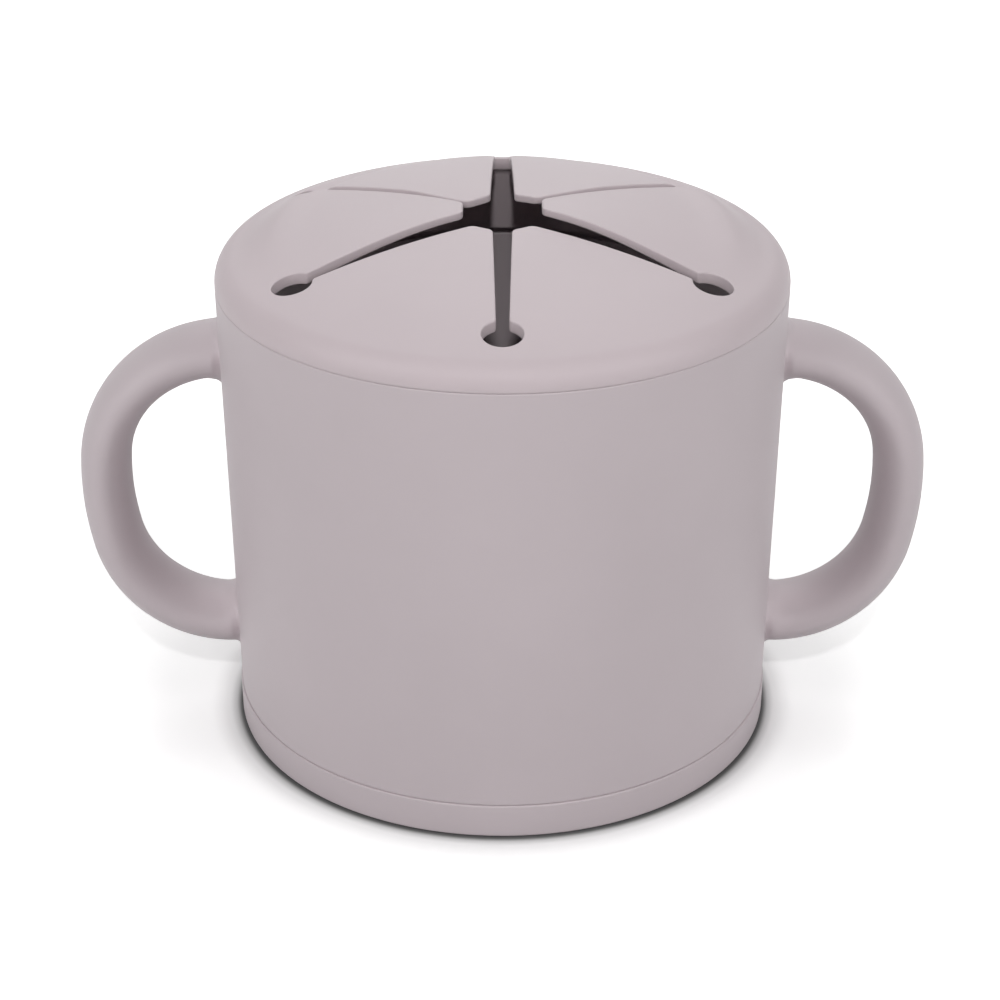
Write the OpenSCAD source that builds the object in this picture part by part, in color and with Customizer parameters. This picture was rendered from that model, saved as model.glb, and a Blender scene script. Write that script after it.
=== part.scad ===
// Toddler snack container: a two-handled cup with a soft lift-off lid that is slit into six flaps.
// Millimetres, +Z up. The origin is on the table, below the middle of the cup.

/* [Cup] */
// Outer radius of the cup and the lid where they meet
rim_r = 44; // [40:0.5:48]
// Height of the cup's rim above the table
rim_z = 74.6; // [68:0.2:84]
// How much the wall draws in between the rim and the foot
wall_draft = 1.16; // [0.4:0.02:2.4]
// Wall thickness at the rim, outside the lid's seat
rim_wall = 2.3; // [1.8:0.1:3]
// Wall thickness below the lid's seat
cup_wall = 2.7; // [2.4:0.1:3.4]
// Thickness of the cup's own floor
floor_t = 2.4; // [1.6:0.1:4]
// Radius of the corner between wall and floor inside
floor_corner = 6; // [3:0.5:9]
// Depth of the smooth seat that takes the lid's plug
seat_depth = 9.4; // [8.6:0.2:13]
// Bevel on the edges that make a visible seam
seam_bevel = 0.25; // [0.1:0.05:0.5]

/* [Foot] */
// Height of the foot's wall
foot_h = 5.6; // [4.6:0.1:7]
// Thickness of the foot's floor
foot_floor = 2.2; // [1.8:0.1:3]
// Thickness of the foot's wall
foot_wall = 2.1; // [1.6:0.1:3]
// Radius of the bottom corner
foot_corner = 1; // [0.6:0.1:2.4]
// Radius of the shallow recess under the foot
recess_r = 33; // [24:1:37]
// Depth of that recess
recess_d = 0.8; // [0.4:0.1:1.2]
// Gap between the cup's spigot and the foot's wall
foot_fit = 0.1; // [0.05:0.05:0.3]

/* [Handles] */
// Half thickness of the handle, seen from the front
grip_half_t = 3.94; // [3:0.1:5]
// Half width of the handle, front to back
grip_half_w = 7.16; // [5:0.1:9]
// Radius of the flare where the handle meets the wall
root_flare = 1.6; // [1:0.1:2.4]
// Height at which the handle's middle line starts, inside the wall
root_z = 62.85; // [56:0.05:66]
// How far inside the rim's radius that line starts and ends
root_inset = 2.6; // [2.2:0.1:4]
// Downward slope of the upper arm, in degrees
root_slope = 9.2; // [0:0.2:16]
// Straight length of the upper arm, from its start
upper_run = 4.8; // [3.6:0.2:8]
// Radius of the upper bend
upper_bend_r = 20; // [17:0.5:24]
// Turn of the upper bend, in degrees
upper_turn = 75.8; // [68:0.2:82]
// Radius of the long outer curve
grip_bend_r = 47.7; // [38:0.5:60]
// Turn of the outer curve, in degrees
grip_turn = 17.3; // [10:0.2:24]
// Radius of the lower bend
lower_bend_r = 18.4; // [15:0.5:22]
// Turn of the lower bend, in degrees
lower_turn = 78.7; // [70:0.2:86]

/* [Lid] */
// Height of the lid's top above the rim
dome_h = 9.7; // [8.5:0.1:13]
// Upright edge of the lid above the seam
land_h = 0.35; // [0.3:0.05:1.5]
// Radius of the lid's shoulder
shoulder_r = 4; // [3:0.1:5.5]
// Thickness of the lid at the slot holes
lid_t_edge = 1.9; // [1.5:0.1:2.6]
// Thickness of the lid at the middle
lid_t_mid = 1.2; // [1:0.05:1.9]
// Height of the plug below the rim
plug_h = 8; // [5:0.2:8.4]
// Thickness of the plug's wall
plug_t = 2; // [1.5:0.1:2.4]
// Gap between the plug and the cup's seat
plug_fit = 0.35; // [0.25:0.05:0.6]
// Gap between the plug's seal ribs and the cup's seat
rib_fit = 0.12; // [0.08:0.02:0.2]
// Half width of a seal rib
rib_half = 0.45; // [0.3:0.05:0.6]
// Radius of the corner under the lid, above the plug
under_corner = 1.5; // [0.8:0.1:2.4]

/* [Slots] */
// How far inside the lid's edge the ring of slot holes lies
hole_inset = 8.4; // [8:0.2:11]
// Radius of the hole at each slot's end
hole_r = 3; // [2.2:0.1:3.2]
// Slot width at the hole
slot_w_hole = 1.8; // [1:0.1:2.6]
// Slot width at the middle
slot_w_mid = 3.1; // [2:0.1:4]
// Distance from the axis to each flap's blunt tip
tip_r = 6; // [5:0.2:9]
// Radius of the flap tips' corners
tip_corner = 1.4; // [0.4:0.1:1.8]

/* [Flap hinges] */
// Gap round each flap's rounded root
hinge_gap = 0.2; // [0.15:0.05:0.35]
// How far a flap bends down, in degrees
flap_down = 70; // [40:5:75]
// How far a flap bends up, in degrees
flap_up = 45; // [20:5:60]

/* [Hidden] */
$fn = 96;
// The lid is slit into as many flaps as there are flap nodes
slots = 6;
// Facets of the two large dome circles, which are nearly flat
dome_fn = 480;
// Points round the handle, and rings along its straight runs, its bends and its outer curve
grip_sides = 24;
run_rings = 6;
bend_rings = 10;
grip_curve_rings = 3;
// Points round a corner of a flap's tip
corner_steps = 6;
// Small overlap that keeps cuts clear of the faces they cut
eps = 0.5;
// Extra radius of a flap's root, so that it reaches both faces of the lid
nose_extra = 0.05;
// Places of the plug's two seal ribs, as shares of its height from the rim down
rib_places = [0.35, 0.75];

// Cup wall: the outer radius falls evenly from the rim to the foot and on to the table
wall_slope = wall_draft / (rim_z - foot_h);
function wall_r(z) = rim_r - (rim_z - z) * wall_slope;

// Seat of the plug, and the cavity below it
seat_r = rim_r - rim_wall;
seat_z = rim_z - seat_depth;
cavity_z = foot_floor + floor_t;
cavity_top_r = wall_r(seat_z) - cup_wall;
cavity_corner_r = wall_r(cavity_z + floor_corner) - cup_wall;
spigot_r = wall_r(foot_h) - foot_wall - foot_fit;

// Plug of the lid
plug_r = seat_r - plug_fit;
plug_in_r = plug_r - plug_t;
plug_z = rim_z - plug_h;

// Ring on which the slot holes lie
hole_ring_r = rim_r - hole_inset;

// Outer dome: a sphere that touches the shoulder's round
shoulder_at = rim_r - shoulder_r;
shoulder_z = rim_z + land_h;
apex_z = rim_z + dome_h;
apex_rise = dome_h - land_h;
dome_r = (apex_rise * apex_rise + shoulder_at * shoulder_at - shoulder_r * shoulder_r)
    / (2 * (apex_rise - shoulder_r));
dome_touch_r = shoulder_at * dome_r / (dome_r - shoulder_r);
function dome_drop(r) = dome_r - sqrt(dome_r * dome_r - r * r);

// Underside: a second sphere, thinner at the middle than at the slot holes
under_drop = dome_drop(hole_ring_r) + lid_t_edge - lid_t_mid;
under_r = (hole_ring_r * hole_ring_r + under_drop * under_drop) / (2 * under_drop);
under_apex_z = apex_z - lid_t_mid;
function under_drop_at(r) = under_r - sqrt(under_r * under_r - r * r);

// Underside corner: a round that touches the plug's bore and the under sphere
corner_at = plug_in_r - under_corner;
corner_z = under_apex_z - under_r
    + sqrt((under_r - under_corner) * (under_r - under_corner) - corner_at * corner_at);
corner_touch_r = corner_at * under_r / (under_r - under_corner);

// Each flap turns about the line between the middles of its two slot holes
flap_step = 360 / slots;
hinge_x = hole_ring_r * cos(flap_step / 2);
hinge_half = hole_ring_r * sin(flap_step / 2);
hinge_end_r = sqrt(hinge_x * hinge_x + (hinge_half - hole_r) * (hinge_half - hole_r));
hinge_top = apex_z - dome_drop(hinge_x);
hinge_low = under_apex_z - under_drop_at(hinge_end_r);
hinge_z = (hinge_top + hinge_low) / 2;
// The root's round reaches both faces of the lid all along the hinge
nose_r = (hinge_top - hinge_low) / 2 + nose_extra;
nose_slope = asin(hinge_x / dome_r);

// Slot width at distance r from the axis
function slot_half(r) = (slot_w_mid + (slot_w_hole - slot_w_mid) * r / hole_ring_r) / 2;
// Point on a flap's side, at distance r along the slot beside it
function side_point(r) = [
    r * cos(flap_step / 2) + slot_half(r) * sin(flap_step / 2),
    r * sin(flap_step / 2) - slot_half(r) * cos(flap_step / 2)];

// Cup: one turned shell with a stepped bottom for the foot and a smooth seat for the lid
module cup_outline() {
    polygon([[0, foot_floor], [spigot_r, foot_floor], [spigot_r, foot_h],
        [wall_r(foot_h), foot_h], [wall_r(rim_z - seam_bevel), rim_z - seam_bevel],
        [rim_r - seam_bevel, rim_z], [0, rim_z]]);
}

module cup_cavity() {
    polygon([[0, cavity_z + floor_corner], [cavity_corner_r, cavity_z + floor_corner],
        [cavity_top_r, seat_z], [seat_r, seat_z], [seat_r, rim_z + eps], [0, rim_z + eps]]);
    square_from(0, cavity_z, cavity_corner_r - floor_corner, cavity_z + floor_corner + eps);
    intersection() {
        translate([cavity_corner_r - floor_corner, cavity_z + floor_corner]) circle(floor_corner);
        square_from(0, cavity_z - eps, cavity_corner_r + eps, cavity_z + floor_corner);
    }
}

module square_from(x0, y0, x1, y1) {
    translate([x0, y0]) square([x1 - x0, y1 - y0]);
}

module cup_body() {
    color([0.72, 0.68, 0.70]) rotate_extrude() difference() {
        cup_outline();
        cup_cavity();
    }
}

// Foot: a shallow cap that the cup's stepped bottom sits in
module foot_outline() {
    low_r = wall_r(foot_corner);
    polygon([[0, 0], [low_r - foot_corner, 0], [low_r - foot_corner, foot_corner],
        [low_r, foot_corner], [wall_r(foot_h - seam_bevel), foot_h - seam_bevel],
        [wall_r(foot_h) - seam_bevel, foot_h], [0, foot_h]]);
    intersection() {
        translate([low_r - foot_corner, foot_corner]) circle(foot_corner);
        square_from(0, -eps, low_r + eps, foot_corner);
    }
}

module base_foot() {
    color([0.68, 0.64, 0.66]) rotate_extrude() difference() {
        foot_outline();
        square_from(0, foot_floor, spigot_r + foot_fit, foot_h + eps);
        square_from(0, -eps, recess_r, recess_d);
    }
}

// Handle: an oval bar swept along straight runs and arcs in the XZ plane, flared at both roots
function ahead(p, heading, length) = p + length * [cos(heading), sin(heading)];
function bend_end(p, heading, r, turn) =
    p + r * [sin(heading + turn) - sin(heading), cos(heading) - cos(heading + turn)];

root_x = rim_r - root_inset;
p0 = [-root_x, root_z];
h0 = 180 + root_slope;
p1 = ahead(p0, h0, upper_run);
h1 = h0 + upper_turn;
p2 = bend_end(p1, h0, upper_bend_r, upper_turn);
h2 = h1 + grip_turn;
p3 = bend_end(p2, h1, grip_bend_r, grip_turn);
h3 = h2 + lower_turn;
p4 = bend_end(p3, h2, lower_bend_r, lower_turn);
lower_run = (-root_x - p4[0]) / cos(h3);

// Extra half thickness at a point of the skin, a quarter round that dies away from the wall
function flare(x, y, z) =
    let (wall_x = sqrt(wall_r(z) * wall_r(z) - y * y),
        away = min(1, max(0, (-x - wall_x) / root_flare)))
    root_flare * (1 - sqrt(1 - (1 - away) * (1 - away)));

// One ring of the sweep: an oval square to the handle's run at point p
function ring(p, heading) = [for (k = [0 : grip_sides - 1])
    let (t = 360 * k / grip_sides,
        across = grip_half_t * cos(t),
        along_y = grip_half_w * sin(t),
        grow = flare(p[0] - across * sin(heading), along_y, p[1] + across * cos(heading)),
        wide = across + grow * cos(t))
    [p[0] - wide * sin(heading), along_y + grow * sin(t), p[1] + wide * cos(heading)]];

grip_rings = concat(
    [for (i = [0 : run_rings]) ring(ahead(p0, h0, upper_run * i / run_rings), h0)],
    [for (i = [1 : bend_rings]) let (turn = upper_turn * i / bend_rings)
        ring(bend_end(p1, h0, upper_bend_r, turn), h0 + turn)],
    [for (i = [1 : grip_curve_rings]) let (turn = grip_turn * i / grip_curve_rings)
        ring(bend_end(p2, h1, grip_bend_r, turn), h1 + turn)],
    [for (i = [1 : bend_rings]) let (turn = lower_turn * i / bend_rings)
        ring(bend_end(p3, h2, lower_bend_r, turn), h2 + turn)],
    [for (i = [1 : run_rings]) ring(ahead(p4, h3, lower_run * i / run_rings), h3)]);

// A closed skin over a list of rings that all have the same number of points
module skin(rings) {
    count = len(rings[0]);
    last = len(rings) - 1;
    quads = [for (i = [0 : last - 1], k = [0 : count - 1])
        [i * count + k, i * count + (k + 1) % count,
        (i + 1) * count + (k + 1) % count, (i + 1) * count + k]];
    start_cap = [for (k = [count - 1 : -1 : 0]) k];
    end_cap = [for (k = [0 : count - 1]) last * count + k];
    polyhedron([for (each_ring = rings) each each_ring], concat(quads, [start_cap, end_cap]));
}

// The roots are cut to the wall, so they meet it face to face
module handle() {
    color([0.72, 0.68, 0.70]) difference() {
        skin(grip_rings);
        rotate_extrude() polygon([[0, 0], [wall_r(0), 0], [wall_r(rim_z), rim_z], [0, rim_z]]);
    }
}

module handle_left() {
    handle();
}

module handle_right() {
    mirror([1, 0, 0]) handle();
}

// Lid: outside profile, from the seam over the shoulder to the middle
module lid_outside() {
    intersection() {
        square_from(0, rim_z, dome_touch_r, apex_z + eps);
        translate([0, apex_z - dome_r]) circle(dome_r, $fn = dome_fn);
    }
    intersection() {
        square_from(shoulder_at - eps, shoulder_z, rim_r + eps, apex_z);
        translate([shoulder_at, shoulder_z]) circle(shoulder_r);
    }
    polygon([[0, rim_z], [rim_r - seam_bevel, rim_z], [rim_r, rim_z + seam_bevel],
        [rim_r, shoulder_z], [0, shoulder_z]]);
}

// Hollow under the lid: the underside's sphere, the corner's round and the plug's bore
module lid_hollow() {
    intersection() {
        square_from(-eps, corner_z, corner_touch_r, apex_z);
        translate([0, under_apex_z - under_r]) circle(under_r, $fn = dome_fn);
    }
    intersection() {
        square_from(corner_at - eps, corner_z, plug_in_r + eps, apex_z);
        translate([corner_at, corner_z]) circle(under_corner);
    }
    square_from(-eps, plug_z - eps, plug_in_r, corner_z);
}

module plug_outline() {
    square_from(plug_in_r - eps, plug_z, plug_r, rim_z);
    for (part = rib_places) translate([seat_r - rib_fit - rib_half, rim_z - part * plug_h])
        circle(rib_half);
}

module lid_shell() {
    rotate_extrude() difference() {
        union() {
            lid_outside();
            plug_outline();
        }
        lid_hollow();
    }
}

// Dome alone, for the flaps; it starts inside their tips, clear of the pole
dome_inner_r = tip_r / 2;
module dome_shell() {
    rotate_extrude() difference() {
        intersection() {
            square_from(dome_inner_r, rim_z, shoulder_at, apex_z + eps);
            translate([0, apex_z - dome_r]) circle(dome_r, $fn = dome_fn);
        }
        translate([0, under_apex_z - under_r]) circle(under_r, $fn = dome_fn);
    }
}

// Everything inside the hinge lines, seen from above
module hinge_polygon() {
    polygon([for (k = [0 : slots - 1])
        hole_ring_r * [cos((k - 0.5) * flap_step), sin((k - 0.5) * flap_step)]]);
}

// Room that a flap's root and plate sweep as it bends up and down
module hinge_room() {
    room_r = nose_r + hinge_gap;
    translate([hinge_x, 0, hinge_z]) {
        rotate([90, 0, 0]) cylinder(h = 2 * hinge_half, r = room_r, center = true);
        for (tilt = [-flap_up - nose_slope, flap_down - nose_slope])
            rotate([0, -tilt, 0]) translate([-shoulder_r, 0, 0])
                cube([2 * shoulder_r, 2 * hinge_half, 2 * room_r], center = true);
    }
}

module slot_hole() {
    translate([hinge_x, hinge_half, rim_z]) cylinder(h = dome_h + eps, r = hole_r);
}

module lid_ring() {
    color([0.78, 0.74, 0.75]) difference() {
        lid_shell();
        translate([0, 0, rim_z]) linear_extrude(dome_h + eps) hinge_polygon();
        for (k = [0 : slots - 1]) rotate([0, 0, k * flap_step]) {
            hinge_room();
            slot_hole();
        }
    }
}

// Flap seen from above: tapered sides, a blunt tip with round corners, cut off at the hinge line
module flap_plan() {
    root = side_point(hole_ring_r);
    tip = side_point((tip_r - slot_half(tip_r) * sin(flap_step / 2)) / cos(flap_step / 2));
    side_angle = atan2(root[1] - tip[1], root[0] - tip[0]);
    // The corner's round touches the tip's edge and the flap's side
    cx = tip_r + tip_corner;
    cy = tip[1] - tip_corner * (1 - sin(side_angle)) / cos(side_angle);
    upper = [for (i = [0 : corner_steps])
        let (t = 180 + (side_angle - 90) * i / corner_steps)
        [cx + tip_corner * cos(t), cy + tip_corner * sin(t)]];
    half = concat(upper, [[hinge_x, tip[1] + (hinge_x - tip[0]) * tan(side_angle)]]);
    polygon(concat(half, [for (i = [len(half) - 1 : -1 : 0]) [half[i][0], -half[i][1]]]));
}

module flap(k) {
    color([0.78, 0.74, 0.75]) rotate([0, 0, (k - 1) * flap_step]) difference() {
        intersection() {
            dome_shell();
            union() {
                translate([0, 0, rim_z]) linear_extrude(dome_h + eps) flap_plan();
                translate([hinge_x, 0, hinge_z]) rotate([90, 0, 0])
                    cylinder(h = 2 * hinge_half, r = nose_r, center = true);
            }
        }
        for (side = [-1, 1]) translate([hinge_x, side * hinge_half, rim_z])
            cylinder(h = dome_h + eps, r = hole_r);
    }
}

cup_body();
base_foot();
handle_left();
handle_right();
lid_ring();
flap(1);  // flap_1
flap(2);  // flap_2
flap(3);  // flap_3
flap(4);  // flap_4
flap(5);  // flap_5
flap(6);  // flap_6
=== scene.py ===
from math import asin, atan2, cos, degrees, hypot, pi, radians, sin, sqrt

import bmesh
import bpy
from mathutils import Matrix, Vector


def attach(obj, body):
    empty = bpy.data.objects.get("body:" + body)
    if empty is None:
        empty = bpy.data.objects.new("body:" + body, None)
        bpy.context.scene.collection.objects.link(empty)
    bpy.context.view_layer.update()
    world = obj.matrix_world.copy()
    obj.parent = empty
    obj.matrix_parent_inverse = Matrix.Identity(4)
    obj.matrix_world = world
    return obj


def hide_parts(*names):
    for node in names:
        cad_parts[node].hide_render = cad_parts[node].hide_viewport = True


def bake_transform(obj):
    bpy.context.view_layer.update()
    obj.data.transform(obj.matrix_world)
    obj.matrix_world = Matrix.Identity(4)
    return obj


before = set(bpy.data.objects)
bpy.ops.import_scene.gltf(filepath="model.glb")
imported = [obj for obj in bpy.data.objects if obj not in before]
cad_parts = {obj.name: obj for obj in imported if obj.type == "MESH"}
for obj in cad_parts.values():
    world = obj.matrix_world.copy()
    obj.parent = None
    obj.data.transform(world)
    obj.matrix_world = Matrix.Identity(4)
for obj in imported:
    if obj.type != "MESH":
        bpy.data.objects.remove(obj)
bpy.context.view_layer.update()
mm = 0.001  # every size below is in millimetres
print("frame loaded with", len(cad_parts), "nodes")

# Camera, at the photograph's place: level sideways, looking down at the cup
cameraPlace = {"x": -0.37, "y": -364.2, "z": 223.55, "pitch": 27.31, "lens": 91.96, "sensor": 36.0,
               "clip": (0.01, 20)}


def makeCamera(c):
    data = bpy.data.cameras.new("camera")
    data.lens, data.sensor_width = c["lens"], c["sensor"]
    data.clip_start, data.clip_end = c["clip"]
    obj = bpy.data.objects.new("camera", data)
    obj.location = (c["x"] * mm, c["y"] * mm, c["z"] * mm)
    obj.rotation_euler = (radians(90 - c["pitch"]), 0, 0)
    bpy.context.scene.collection.objects.link(obj)
    bpy.context.scene.camera = obj


makeCamera(cameraPlace)
print("camera placed")


# Mesh helpers
def addPiece(name, bm, material):
    bmesh.ops.remove_doubles(bm, verts=bm.verts, dist=0.002 * mm)
    bmesh.ops.recalc_face_normals(bm, faces=bm.faces)
    mesh = bpy.data.meshes.new(name)
    bm.to_mesh(mesh)
    bm.free()
    mesh.polygons.foreach_set("use_smooth", [True] * len(mesh.polygons))
    mesh.materials.append(material)
    obj = bpy.data.objects.new(name, mesh)
    bpy.context.scene.collection.objects.link(obj)
    return obj


# Rows of points in mm, all as long as each other, joined into a skin
def addRows(bm, rows, closed=False):
    made = [[bm.verts.new(Vector(p) * mm) for p in row] for row in rows]
    for a, b in zip(made, made[1:]):
        last = len(a) if closed else len(a) - 1
        for k in range(last):
            n = (k + 1) % len(a)
            bm.faces.new((a[k], a[n], b[n], b[k]))
    return made


# Angles are in degrees
def arcPoints(cx, cz, r, start, end, steps):
    angles = [radians(start + (end - start) * i / steps) for i in range(steps + 1)]
    return [(cx + r * cos(a), cz + r * sin(a)) for a in angles]


# Points are (r, z, corner radius); the corners come back as arcs
def softCorners(points, steps=5):
    out = []
    for i, (x, z, r) in enumerate(points):
        if r == 0 or i in (0, len(points) - 1):
            out.append((x, z))
            continue
        here = Vector((x, z))
        back = (Vector(points[i - 1][:2]) - here).normalized()
        on = (Vector(points[i + 1][:2]) - here).normalized()
        half = back.angle(on) / 2
        centre = here + (back + on).normalized() * r / sin(half)
        first = here + back * r * cos(half) / sin(half) - centre
        turn = first.angle_signed(here + on * r * cos(half) / sin(half) - centre)
        for k in range(steps + 1):
            a = -turn * k / steps
            out.append((centre.x + first.x * cos(a) - first.y * sin(a),
                        centre.y + first.x * sin(a) + first.y * cos(a)))
    return out


# A solid turned about the Z axis, from an outline that starts and ends on the axis
def turned(name, outline, material, sides=256):
    bm = bmesh.new()
    around = [2 * pi * k / sides for k in range(sides)]
    rings = [[(r * cos(a), r * sin(a), z) for a in around] for r, z in outline[1:-1]]
    made = addRows(bm, rings, closed=True)
    for ring, (r, z) in ((made[0], outline[0]), (made[-1], outline[-1])):
        pole = bm.verts.new((0, 0, z * mm))
        for k in range(sides):
            bm.faces.new((ring[k], ring[(k + 1) % sides], pole))
    return addPiece(name, bm, material)


# Silicone: a nearly even colour, slightly cloudy, with a very fine moulded grain and a soft dull sheen
siliconeLook = {"roughness": 0.52, "roughShift": 0.05, "specular": 0.38, "sheen": 0.12,
                "sheenRoughness": 0.6, "cloudSize": 38, "cloudShift": 0.018, "cloudEdges": (0.3, 0.7),
                "grainSize": 5200, "grainHeight": 0.02, "grainStrength": 0.25}


def silicone(name, colour, look=siliconeLook):
    mat = bpy.data.materials.new(name)
    mat.use_nodes = True
    nodes, links = mat.node_tree.nodes, mat.node_tree.links
    shader = nodes["Principled BSDF"]
    shader.inputs["Specular IOR Level"].default_value = look["specular"]
    shader.inputs["Sheen Weight"].default_value = look["sheen"]
    shader.inputs["Sheen Roughness"].default_value = look["sheenRoughness"]
    place = nodes.new("ShaderNodeTexCoord")

    def noise(scale, detail):
        n = nodes.new("ShaderNodeTexNoise")
        n.inputs["Scale"].default_value, n.inputs["Detail"].default_value = scale, detail
        links.new(place.outputs["Object"], n.inputs["Vector"])
        return n

    cloud = noise(look["cloudSize"], 3)
    tones = nodes.new("ShaderNodeValToRGB")
    shift = look["cloudShift"]
    dark, light = tones.color_ramp.elements
    dark.position, light.position = look["cloudEdges"]
    dark.color = tuple(c * (1 - shift) for c in colour) + (1,)
    light.color = tuple(c * (1 + shift) for c in colour) + (1,)
    links.new(cloud.outputs["Fac"], tones.inputs["Fac"])
    links.new(tones.outputs["Color"], shader.inputs["Base Color"])
    grain = noise(look["grainSize"], 2)
    dull = nodes.new("ShaderNodeMapRange")
    dull.inputs["To Min"].default_value = look["roughness"] - look["roughShift"]
    dull.inputs["To Max"].default_value = look["roughness"] + look["roughShift"]
    links.new(grain.outputs["Fac"], dull.inputs["Value"])
    links.new(dull.outputs["Result"], shader.inputs["Roughness"])
    bump = nodes.new("ShaderNodeBump")
    bump.inputs["Strength"].default_value = look["grainStrength"]
    bump.inputs["Distance"].default_value = look["grainHeight"] * mm
    links.new(grain.outputs["Fac"], bump.inputs["Height"])
    links.new(bump.outputs["Normal"], shader.inputs["Normal"])
    return mat


cupSilicone = silicone("cupSilicone", (0.575, 0.505, 0.53))
# The foot's silicone is the cup's made evenly darker: painted shade for the band next to the floor
footShadedSilicone = silicone("footShadedSilicone", (0.54, 0.473, 0.497))
lidSilicone = silicone("lidSilicone", (0.594, 0.512, 0.538))
print("materials made")

# Cup: turned, with a stepped bottom for the foot and a smooth seat inside the rim
cup = {"rimRadius": 44.0, "rimHeight": 74.6, "draft": 1.16, "rimWall": 2.3, "wall": 2.7,
       "footHeight": 5.6, "footFloor": 2.2, "footWall": 2.1, "footFit": 0.1, "floor": 2.4,
       "floorCorner": 6.0, "seatDepth": 9.4, "seamRound": 0.3,
       "spigotRound": 0.4, "stepRound": 0.1, "lipRound": 0.4, "seatRound": 0.15, "ledgeRound": 0.3}


def wallRadius(z):
    return cup["rimRadius"] - (cup["rimHeight"] - z) * cup["draft"] / (cup["rimHeight"] - cup["footHeight"])


def makeCup(c):
    foot, rim, soft = c["footHeight"], c["rimHeight"], c["seamRound"]
    spigot = wallRadius(foot) - c["footWall"] - c["footFit"]
    seat, seatZ = c["rimRadius"] - c["rimWall"], rim - c["seatDepth"]
    floorZ = c["footFloor"] + c["floor"]
    outline = softCorners([
        (0, c["footFloor"], 0), (spigot, c["footFloor"], c["spigotRound"]), (spigot, foot, c["stepRound"]),
        (wallRadius(foot), foot, soft), (c["rimRadius"], rim, soft), (seat, rim, c["lipRound"]),
        (seat, seatZ, c["seatRound"]), (wallRadius(seatZ) - c["wall"], seatZ, c["ledgeRound"]),
        (wallRadius(floorZ) - c["wall"], floorZ, c["floorCorner"]), (0, floorZ, 0)])
    shell = turned("cupShell", outline, cupSilicone)
    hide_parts("cup_body")
    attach(shell, "cup")


makeCup(cup)

# Foot: a shallow cap whose upper edge stands a hair proud, which makes the fine line round the cup
foot = {"corner": 0.6, "proud": 0.22, "edge": 0.25, "recessRadius": 33.0, "recess": 0.8,
        "recessRound": 0.25, "lipRound": 0.2, "innerRound": 0.3}


def makeFoot(f, c):
    top, inner = c["footHeight"], wallRadius(c["footHeight"]) - c["footWall"]
    outline = softCorners([
        (0, f["recess"], 0), (f["recessRadius"], f["recess"], f["recessRound"]),
        (f["recessRadius"], 0, f["recessRound"]), (wallRadius(0) + f["proud"], 0, f["corner"]),
        (wallRadius(top) + f["proud"], top, f["edge"]), (inner, top, f["lipRound"]),
        (inner, c["footFloor"], f["innerRound"]), (0, c["footFloor"], 0)])
    base = turned("footCap", outline, footShadedSilicone)
    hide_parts("base_foot")
    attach(base, "cup")


makeFoot(foot, cup)
print("cup and foot made")

# Handles: an oval bar along straight runs and arcs, rounded above and below where it meets the wall,
# with a slight neck in front that shows as a soft groove
grip = {"halfThick": 3.94, "halfWide": 7.16, "flareInside": 2.7, "flareOutside": 1.6, "neck": 0.5,
        "neckReach": 1.6, "neckSpread": 1.6, "startX": 42.2, "startZ": 62.72, "slope": 9.2,
        "upperRun": 4.0, "bends": [(20.0, 75.8), (47.7, 17.3), (18.4, 78.7)], "sides": 48,
        "upperRings": 24, "lowerRings": 12, "bendStep": 2}


# (x, z, heading) along the middle of the left handle, from its upper to its lower root
def gripLine(g):
    x, z, heading = -g["startX"], g["startZ"], 180 + g["slope"]
    line = []

    def run(length, steps):
        nonlocal x, z
        for i in range(steps):
            line.append((x + length * i / steps * cos(radians(heading)),
                         z + length * i / steps * sin(radians(heading)), heading))
        x, z = x + length * cos(radians(heading)), z + length * sin(radians(heading))

    run(g["upperRun"], g["upperRings"])
    for r, turn in g["bends"]:
        cx, cz = x - r * sin(radians(heading)), z + r * cos(radians(heading))
        steps = round(turn / g["bendStep"])
        for i in range(steps):
            h = heading + turn * i / steps
            line.append((cx + r * sin(radians(h)), cz - r * cos(radians(h)), h))
        heading += turn
        x, z = cx + r * sin(radians(heading)), cz - r * cos(radians(heading))
    run((-g["startX"] - x) / cos(radians(heading)), g["lowerRings"])
    line.append((x, z, heading))
    return line


def ease(start, end, x):
    t = min(1, max(0, (x - start) / (end - start)))
    return t * t * (3 - 2 * t)


# Distance in mm from the cup's wall
def fromWall(x, y, z):
    return max(0, -x - sqrt(wallRadius(z) ** 2 - y * y))


def gripRing(g, x, z, heading):
    h = radians(heading)
    ring = []
    for k in range(g["sides"]):
        t = 2 * pi * k / g["sides"]
        across, y = g["halfThick"] * cos(t), g["halfWide"] * sin(t)
        spot = (x - across * sin(h), y, z + across * cos(h))
        flare = g["flareInside"] if cos(t) > 0 else g["flareOutside"]
        near = 1 - min(1, fromWall(*spot) / flare)
        across += flare * (1 - sqrt(1 - near * near)) * cos(t)
        sidewards = min(1, max(-1, g["neckSpread"] * sin(t)))
        y -= g["neck"] * (1 - ease(0, g["neckReach"], fromWall(*spot))) * sidewards
        ring.append((x - across * sin(h), y, z + across * cos(h)))
    return ring


def makeHandle(name, node, side, g):
    bm = bmesh.new()
    rings = [gripRing(g, *spot) for spot in gripLine(g)]
    rings = [[(-side * x, y, z) for x, y, z in ring] for ring in rings]
    made = addRows(bm, rings, closed=True)
    bm.faces.new(made[0])
    bm.faces.new(made[-1])
    handle = addPiece(name, bm, cupSilicone)
    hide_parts(node)
    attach(handle, "cup")


makeHandle("handleLeft", "handle_left", -1, grip)
makeHandle("handleRight", "handle_right", 1, grip)
print("handles made")
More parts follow.
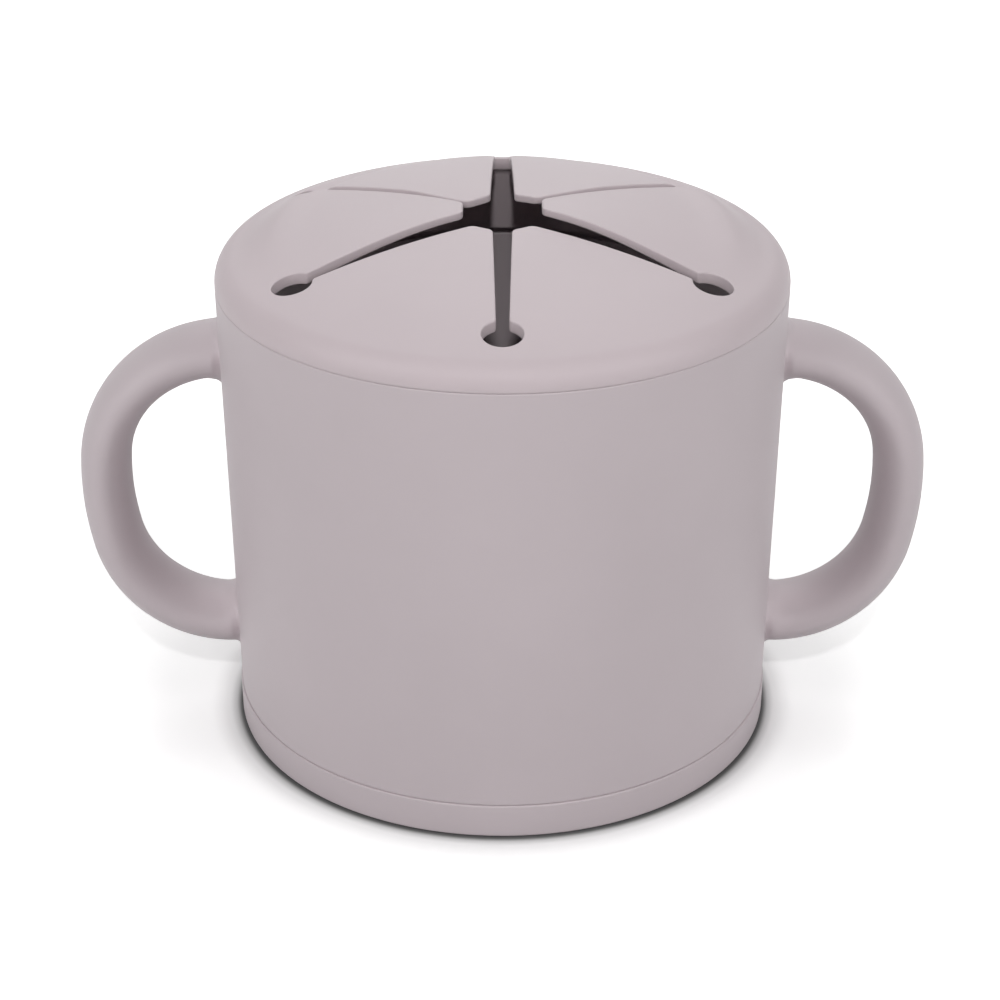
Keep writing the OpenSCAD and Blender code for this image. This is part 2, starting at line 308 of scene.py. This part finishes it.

# Lid: six like pieces, each from one slot to the next and each holding one flap
lid = {"slots": 6, "domeHeight": 9.7, "land": 0.35, "shoulder": 4.0, "edgeThick": 1.9, "midThick": 1.2,
       "plugHeight": 8.0, "plugWall": 2.0, "plugFit": 0.35, "underCorner": 1.5, "holeInset": 8.4,
       "holeRadius": 3.0, "slotAtHole": 1.8, "slotAtMiddle": 3.1, "tip": 6.0, "tipCorner": 1.4,
       "mouthRound": 0.7, "edgeRound": 0.2, "seamRound": 0.2, "bendReach": 2.6, "rib": 0.23,
       "ribHalf": 0.6, "ribTip": 0.25, "ribPlaces": (0.35, 0.75), "flangeRound": 0.2, "plugRound": 0.5}
edgeSteps = {"corner": 8, "side": 26, "mouth": 5, "hole": 30}  # points along each part of a flap's edge

# The soft flaps don't rest quite even: the two side ones stand a little proud, and the back side slots
# are pressed shut to fine lines. In flaps, closed is a flap's side towards such a slot, tip and lift are
# in mm, and corner is the share of the lift that is left at the tip. A reach is in mm outwards from the
# ring of holes: where the lift or shift is still whole, and where it has died away. tipFrom and
# cornerReach are mm from the cup's axis. Skin that is skinFrom or more above the rim's height moves in
# full, and what is plugKeeps or more below it stays
rest = {"flaps": {1: {"closed": 1, "tip": 1.8, "lift": 2.2}, 4: {"closed": -1, "tip": 1.15, "lift": 1.75},
                  2: {"closed": -1, "corner": 0.8, "lift": 2.2},
                  3: {"closed": 1, "corner": 0.5, "lift": 1.75}},
        "gap": 0.65, "shareOfSide": 0.6, "sink": 0.6, "proud": 0.35, "backLift": 1.1, "slide": 0.45,
        "pressReach": (-6, -1), "closedReach": (-1.1, 4.9), "proudReach": (-6, 0),
        "backReach": (-2.6, 3), "slideReach": (-7.6, 0.4), "tipFrom": 10, "cornerReach": (6, 18),
        "plugKeeps": 4, "skinFrom": 1.4}

rimR, rimZ = cup["rimRadius"], cup["rimHeight"]
halfStep = 180 / lid["slots"]
holeRing = rimR - lid["holeInset"]
hingeX, hingeHalf = holeRing * cos(radians(halfStep)), holeRing * sin(radians(halfStep))
apexZ = rimZ + lid["domeHeight"]
shoulderAt, shoulderZ = rimR - lid["shoulder"], rimZ + lid["land"]
rise = lid["domeHeight"] - lid["land"]
domeR = (rise ** 2 + shoulderAt ** 2 - lid["shoulder"] ** 2) / (2 * (rise - lid["shoulder"]))
domeTouch = shoulderAt * domeR / (domeR - lid["shoulder"])


def drop(radius, r):
    return radius - sqrt(radius ** 2 - r * r)


underDrop = drop(domeR, holeRing) + lid["edgeThick"] - lid["midThick"]
underR = (holeRing ** 2 + underDrop ** 2) / (2 * underDrop)
underApex = apexZ - lid["midThick"]
plugR = rimR - cup["rimWall"] - lid["plugFit"]
plugIn = plugR - lid["plugWall"]
cornerAt = plugIn - lid["underCorner"]
cornerZ = underApex - underR + sqrt((underR - lid["underCorner"]) ** 2 - cornerAt ** 2)
cornerTouch = cornerAt * underR / (underR - lid["underCorner"])


def topZ(r):
    if r <= domeTouch:
        return apexZ - drop(domeR, r)
    return shoulderZ + sqrt(max(0, lid["shoulder"] ** 2 - (r - shoulderAt) ** 2))


def lowZ(r):
    if r <= cornerTouch:
        return underApex - drop(underR, r)
    return cornerZ + sqrt(max(0, lid["underCorner"] ** 2 - (r - cornerAt) ** 2))


def slotHalf(r):
    return (lid["slotAtMiddle"] + (lid["slotAtHole"] - lid["slotAtMiddle"]) * r / holeRing) / 2


# (x, y, normal angle) along one side of a flap: tip corner, straight side, mouth of the hole, hole
def flapEdge():
    a = radians(halfStep)

    def sidePoint(r):
        return Vector((r * cos(a) + slotHalf(r) * sin(a), r * sin(a) - slotHalf(r) * cos(a)))

    tip = sidePoint((lid["tip"] - slotHalf(lid["tip"]) * sin(a)) / cos(a))
    root = sidePoint(holeRing)
    along = (root - tip).normalized()
    sideAngle = degrees(atan2(along.y, along.x))
    normal = Vector((-along.y, along.x))
    rc = lid["tipCorner"]
    centre = Vector((lid["tip"] + rc, tip.y - rc * (1 - sin(radians(sideAngle))) / cos(radians(sideAngle))))
    points = []
    for i in range(edgeSteps["corner"] + 1):
        t = 180 + (sideAngle - 90) * i / edgeSteps["corner"]
        points.append((centre.x + rc * cos(radians(t)), centre.y + rc * sin(radians(t)), t))
    # The rounded mouth touches the side and the hole
    rm, rh = lid["mouthRound"], lid["holeRadius"]
    hole = Vector((hingeX, hingeHalf))
    off = (hole - tip).dot(normal) + rm
    back = sqrt((rh + rm) ** 2 - off ** 2)
    mouth = hole - normal * off - along * back
    start = mouth + normal * rm
    firstSide = Vector(points[-1][:2])
    for i in range(1, edgeSteps["side"]):
        p = firstSide.lerp(start, i / edgeSteps["side"])
        points.append((p.x, p.y, 90 + sideAngle))
    toHole = hole - mouth
    mouthEnd = degrees(atan2(toHole.y, toHole.x))
    for i in range(edgeSteps["mouth"] + 1):
        t = 90 + sideAngle + (mouthEnd - 90 - sideAngle) * i / edgeSteps["mouth"]
        points.append((mouth.x + rm * cos(radians(t)), mouth.y + rm * sin(radians(t)), t))
    holeStart, holeEnd = mouthEnd + 180, 360 + halfStep
    for i in range(1, edgeSteps["hole"] + 1):
        t = holeStart + (holeEnd - holeStart) * i / edgeSteps["hole"]
        points.append((hole.x + rh * cos(radians(t)), hole.y + rh * sin(radians(t)), t + 180))
    return points


edge = flapEdge()


# (r, z) over the rim from outside the slot hole: dome, shoulder, land, flange, plug and underside
def rimOutline(soft):
    first = holeRing + lid["holeRadius"] + soft
    out = [(r, topZ(r)) for r in (first + (domeTouch - first) * i / 6 for i in range(7))]
    start = degrees(asin((apexZ - domeR - shoulderZ) / (lid["shoulder"] - domeR)))
    out += arcPoints(shoulderAt, shoulderZ, lid["shoulder"], start, 0, 24)[1:]
    seam, plugZ = lid["seamRound"], rimZ - lid["plugHeight"]
    below = [(rimR, shoulderZ, 0), (rimR, rimZ, seam), (plugR, rimZ, lid["flangeRound"])]
    for share in lid["ribPlaces"]:
        ribZ = rimZ - share * lid["plugHeight"]
        below += [(plugR, ribZ + lid["ribHalf"], lid["flangeRound"]),
                  (plugR + lid["rib"], ribZ, lid["ribTip"]),
                  (plugR, ribZ - lid["ribHalf"], lid["flangeRound"])]
    below += [(plugR, plugZ, lid["plugRound"]), (plugIn, plugZ, lid["plugRound"]), (plugIn, cornerZ, 0)]
    out += softCorners(below)[1:]
    end = degrees(asin((lowZ(first) - cornerZ) / lid["underCorner"]))
    out += arcPoints(cornerAt, cornerZ, lid["underCorner"], 0, end, 6)[1:]
    return out


# Places across a lid piece, -1 to 1, close together beside the slots
def columns():
    half = [sin(pi / 2 * i / 16) for i in range(17)]
    half = half[:-1] + [0.9985, 1]
    return [-v for v in reversed(half[1:])] + half


# A row across the flap that ends at (x, y) on one side and (x, -y) on the other
def plainRow(x, y, centre, zOf, lift=0.0):
    r, a = hypot(x, y), atan2(y, x)
    row = []
    for u in columns():
        ru = centre + (r - centre) * u * u
        row.append((ru * cos(a * u), ru * sin(a * u), zOf(ru) + lift))
    return row


# Where row i crosses the middle of the flap: straight rows inside, round rows at the hole's far side
def centreAt(i):
    x, y, normal = edge[i]
    last = len(edge) - 1
    return x + (hypot(x, y) - x) * ease(last - edgeSteps["hole"], last, i)


# Where a point of flap k rests; past the holes the lift dies away, and neighbours share their border
def restPlace(k, p):
    if k not in rest["flaps"] or p.z < rimZ - rest["plugKeeps"]:
        return p
    own, r = rest["flaps"][k], hypot(p.x, p.y)
    holeEnd = holeRing + lid["holeRadius"]

    def fade(reach):
        return 1 - ease(holeRing + reach[0], holeRing + reach[1], r)

    share = ease(-1, 1, own["closed"] * degrees(atan2(p.y, p.x)) / halfStep)
    press = (2 * slotHalf(min(r, holeRing)) - rest["gap"]) * fade(rest["pressReach"])
    closedLift = (own["lift"] - rest["sink"] * rest["shareOfSide"] * press) * fade(rest["closedReach"])
    if "tip" in own:
        openLift = own["tip"] * (1 - ease(rest["tipFrom"], holeEnd, r))
        move = rest["shareOfSide"] * press * share * share
    else:
        openLift = rest["backLift"] * fade(rest["backReach"])
        inner = own["corner"] + (1 - own["corner"]) * ease(*rest["cornerReach"], r)
        near = (closedLift + rest["proud"]) * inner * fade(rest["proudReach"])
        closedLift = near + closedLift * ease(holeRing, holeEnd, r)
        move = (1 - rest["shareOfSide"]) * press * share * share
        move += rest["slide"] * (1 - share) * fade(rest["slideReach"])
    lift = openLift + (closedLift - openLift) * share
    return Vector((p.x, p.y + own["closed"] * move / cos(radians(halfStep)),
                   p.z + lift * ease(rimZ - rest["plugKeeps"], rimZ + rest["skinFrom"], p.z)))


# The hidden end faces are many-sided; their edges stay sharp, so the skin beside them shades smoothly
def sharpenEnds(piece):
    mesh = piece.data
    sides = {p.index for p in mesh.polygons if len(p.vertices) > 4}
    keys = {tuple(sorted(key)) for p in mesh.polygons if p.index in sides for key in p.edge_keys}
    for e in mesh.edges:
        e.use_edge_sharp = tuple(sorted(e.vertices)) in keys


def makeLidPiece(k):
    soft = lid["edgeRound"]
    rounds = [radians(angle) for angle in (0, 22.5, 45, 67.5, 90)]
    bm = bmesh.new()
    count = len(edge)

    def inset(i, t):
        x, y, normal = edge[i]
        off = soft * (1 - sin(t))
        return x - off * cos(radians(normal)), y - off * sin(radians(normal))

    # The middle of row i moves in with the tip's edge, and with the hole's far side
    def centreInset(i, t):
        near = 1 - min(1, i / edgeSteps["corner"])
        far = max(0, (i - (count - 1 - edgeSteps["hole"])) / edgeSteps["hole"])
        return centreAt(i) + soft * (1 - sin(t)) * near + soft * (1 - sin(t)) * far

    flat = rounds[0]
    top = [plainRow(*inset(i, flat), centreInset(i, flat), topZ) for i in range(count)]
    low = [plainRow(*inset(i, flat), centreInset(i, flat), lowZ) for i in range(count)]
    rim = []
    for r, z in rimOutline(soft)[1:-1]:
        rim.append([(r * cos(radians(halfStep * u)), r * sin(radians(halfStep * u)), z) for u in columns()])
    tipWall = [plainRow(*inset(0, t), centreInset(0, t), topZ, -soft * (1 - cos(t))) for t in rounds[1:]]
    tipWall += [plainRow(*inset(0, t), centreInset(0, t), lowZ, soft * (1 - cos(t)))
                for t in reversed(rounds[1:])]
    loop = top + rim + low[::-1] + tipWall[::-1] + [top[0]]
    addRows(bm, loop)
    for side in (1, -1):
        wall = []
        for i in range(count):
            column = []
            for t in rounds:
                x, y = inset(i, t)
                column.append((x, side * y, topZ(hypot(x, y)) - soft * (1 - cos(t))))
            for t in reversed(rounds):
                x, y = inset(i, t)
                column.append((x, side * y, lowZ(hypot(x, y)) + soft * (1 - cos(t))))
            wall.append(column)
        addRows(bm, wall)
        # Hidden end face, where this piece meets the next one
        end = wall[-1][::-1] + [row[-1 if side > 0 else 0] for row in [top[-1]] + rim + [low[-1]]][1:-1]
        bm.faces.new([bm.verts.new(Vector(p) * mm) for p in end])
    for v in bm.verts:
        v.co = restPlace(k, v.co / mm) * mm
    turn = (k - 1) * 2 * halfStep
    away = Vector((cos(radians(turn)), sin(radians(turn)), 0))
    bmesh.ops.rotate(bm, verts=bm.verts, cent=(0, 0, 0), matrix=Matrix.Rotation(radians(turn), 3, "Z"))
    piece = addPiece(f"lidPiece{k}", bm, lidSilicone)
    sharpenEnds(piece)
    nodes = [f"flap_{k}"] + (["lid_ring"] if k == 1 else [])
    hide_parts(*nodes)
    hingeZ = topZ(hingeX) - lid["edgeThick"] / 2
    end = away * (hingeX - lid["bendReach"]) * mm + Vector((0, 0, hingeZ * mm))
    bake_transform(piece)


for k in range(1, lid["slots"] + 1):
    makeLidPiece(k)
print("lid made")

# Studio: a white floor that glows more, for the camera alone, the further it is from the cup, which paints
# shade round the cup, with a painted contact shadow where the foot stands; a small key lamp above the
# camera, and soft lamps all round
studio = {"world": 0.01, "floorBounce": 0.7, "floorHalf": 4000, "floorDrop": 0.02, "floorRoughness": 0.9,
          "floorSpecular": 0.1, "lampDistance": 1.1, "aimHeight": 0.045,
          # mm from the cup's axis, and how much the floor glows there for the camera alone: white far out,
          # and fading towards the foot as painted shade round the cup
          "floorGlowAndShade": [(43.4, 0.0), (44.4, 0.05), (45.7, 0.12), (48, 0.29), (56, 0.33), (66, 0.48),
                        (84, 0.6), (300, 0.68), (650, 1.0)],
          # mm from the axis, and the floor's whiteness there for the camera: a painted contact shadow, a
          # dark line where the foot stands
          "floorPaintedShadow": [(42.6, 0.08), (43.3, 0.14), (44.0, 0.6), (45.0, 0.88), (46.5, 0.95)],
          # lamps: degrees to the right of the camera, degrees up, width in metres, power in watts
          "lamps": {"key": (0, 40, 0.05, 2.5), "left": (-55, 35, 0.7, 3.85), "right": (55, 35, 0.7, 3.6),
                    "lowLeft": (-65, 15, 0.7, 1.3), "lowRight": (65, 15, 0.7, 1.15),
                    "top": (0, 85, 1.2, 1.4), "back": (180, 42, 0.7, 2.9),
                    "lowBack": (180, 15, 0.7, 0.5)}}


def areaLamp(name, place, aim, width, power):
    data = bpy.data.lights.new(name, "AREA")
    data.shape, data.size, data.energy = "DISK", width, power
    obj = bpy.data.objects.new(name, data)
    obj.location = place
    obj.rotation_mode = "QUATERNION"
    obj.rotation_quaternion = (Vector(aim) - Vector(place)).to_track_quat("-Z", "Y")
    bpy.context.scene.collection.objects.link(obj)


# 1 for rays that show the backdrop: from the camera, in a gloss or through something clear
def cameraShare(nodes, links):
    path = nodes.new("ShaderNodeLightPath")
    total = None
    for name in ("Is Camera Ray", "Is Glossy Ray", "Is Transmission Ray"):
        if total is None:
            total = path.outputs[name]
            continue
        add = nodes.new("ShaderNodeMath")
        add.operation, add.use_clamp = "ADD", True
        links.new(total, add.inputs[0])
        links.new(path.outputs[name], add.inputs[1])
        total = add.outputs[0]
    return total


def makeStudio(s):
    aim, far = (0, 0, s["aimHeight"]), s["lampDistance"]
    for name, (turn, height, width, power) in s["lamps"].items():
        side, up = radians(turn - 90), radians(height)
        place = (far * cos(up) * cos(side), far * cos(up) * sin(side), aim[2] + far * sin(up))
        areaLamp(name + "Lamp", place, aim, width, power)
    world = bpy.data.worlds.new("studio")
    world.use_nodes = True
    bpy.context.scene.world = world
    nodes, links = world.node_tree.nodes, world.node_tree.links
    back = nodes["Background"]
    strength = nodes.new("ShaderNodeMapRange")
    strength.inputs["To Min"].default_value, strength.inputs["To Max"].default_value = s["world"], 1.0
    links.new(cameraShare(nodes, links), strength.inputs["Value"])
    links.new(strength.outputs["Result"], back.inputs["Strength"])
    back.inputs["Color"].default_value = (1, 1, 1, 1)
    bpy.context.scene.view_settings.view_transform = "Standard"


def makeFloor(s):
    bm = bmesh.new()
    ends = (-s["floorHalf"], s["floorHalf"])
    addRows(bm, [[(x, y, -s["floorDrop"]) for x in ends] for y in ends])
    mat = bpy.data.materials.new("floorWhite")
    mat.use_nodes = True
    nodes, links = mat.node_tree.nodes, mat.node_tree.links
    shader = nodes["Principled BSDF"]
    shader.inputs["Roughness"].default_value = s["floorRoughness"]
    shader.inputs["Specular IOR Level"].default_value = s["floorSpecular"]
    shader.inputs["Emission Color"].default_value = (1, 1, 1, 1)
    seen = cameraShare(nodes, links)
    place = nodes.new("ShaderNodeTexCoord")
    reach = nodes.new("ShaderNodeVectorMath")
    reach.operation = "LENGTH"
    links.new(place.outputs["Object"], reach.inputs[0])

    def byReach(steps):
        end = steps[-1][0]
        span = nodes.new("ShaderNodeMapRange")
        span.inputs["From Max"].default_value = end * mm
        links.new(reach.outputs["Value"], span.inputs["Value"])
        ramp = nodes.new("ShaderNodeValToRGB")
        stops = ramp.color_ramp.elements
        while len(stops) < len(steps):
            stops.new(0.5)
        for stop, (r, level) in zip(stops, steps):
            stop.position, stop.color = r / end, (level, level, level, 1)
        links.new(span.outputs["Result"], ramp.inputs["Fac"])
        return ramp.outputs["Color"]

    def times(a, b):
        both = nodes.new("ShaderNodeMath")
        both.operation = "MULTIPLY"
        links.new(a, both.inputs[0])
        links.new(b, both.inputs[1])
        return both.outputs["Value"]

    # The floor's glow for the camera is low near the cup, as painted shade round the foot, and full white
    # far away
    links.new(times(byReach(s["floorGlowAndShade"]), seen), shader.inputs["Emission Strength"])
    # For the camera the floor's whiteness falls near the foot: a painted contact shadow
    tone = nodes.new("ShaderNodeMapRange")
    tone.inputs["To Min"].default_value = s["floorBounce"]
    links.new(seen, tone.inputs["Value"])
    links.new(byReach(s["floorPaintedShadow"]), tone.inputs["To Max"])
    links.new(tone.outputs["Result"], shader.inputs["Base Color"])
    addPiece("floor", bm, mat)


makeStudio(studio)
makeFloor(studio)
print("studio made")
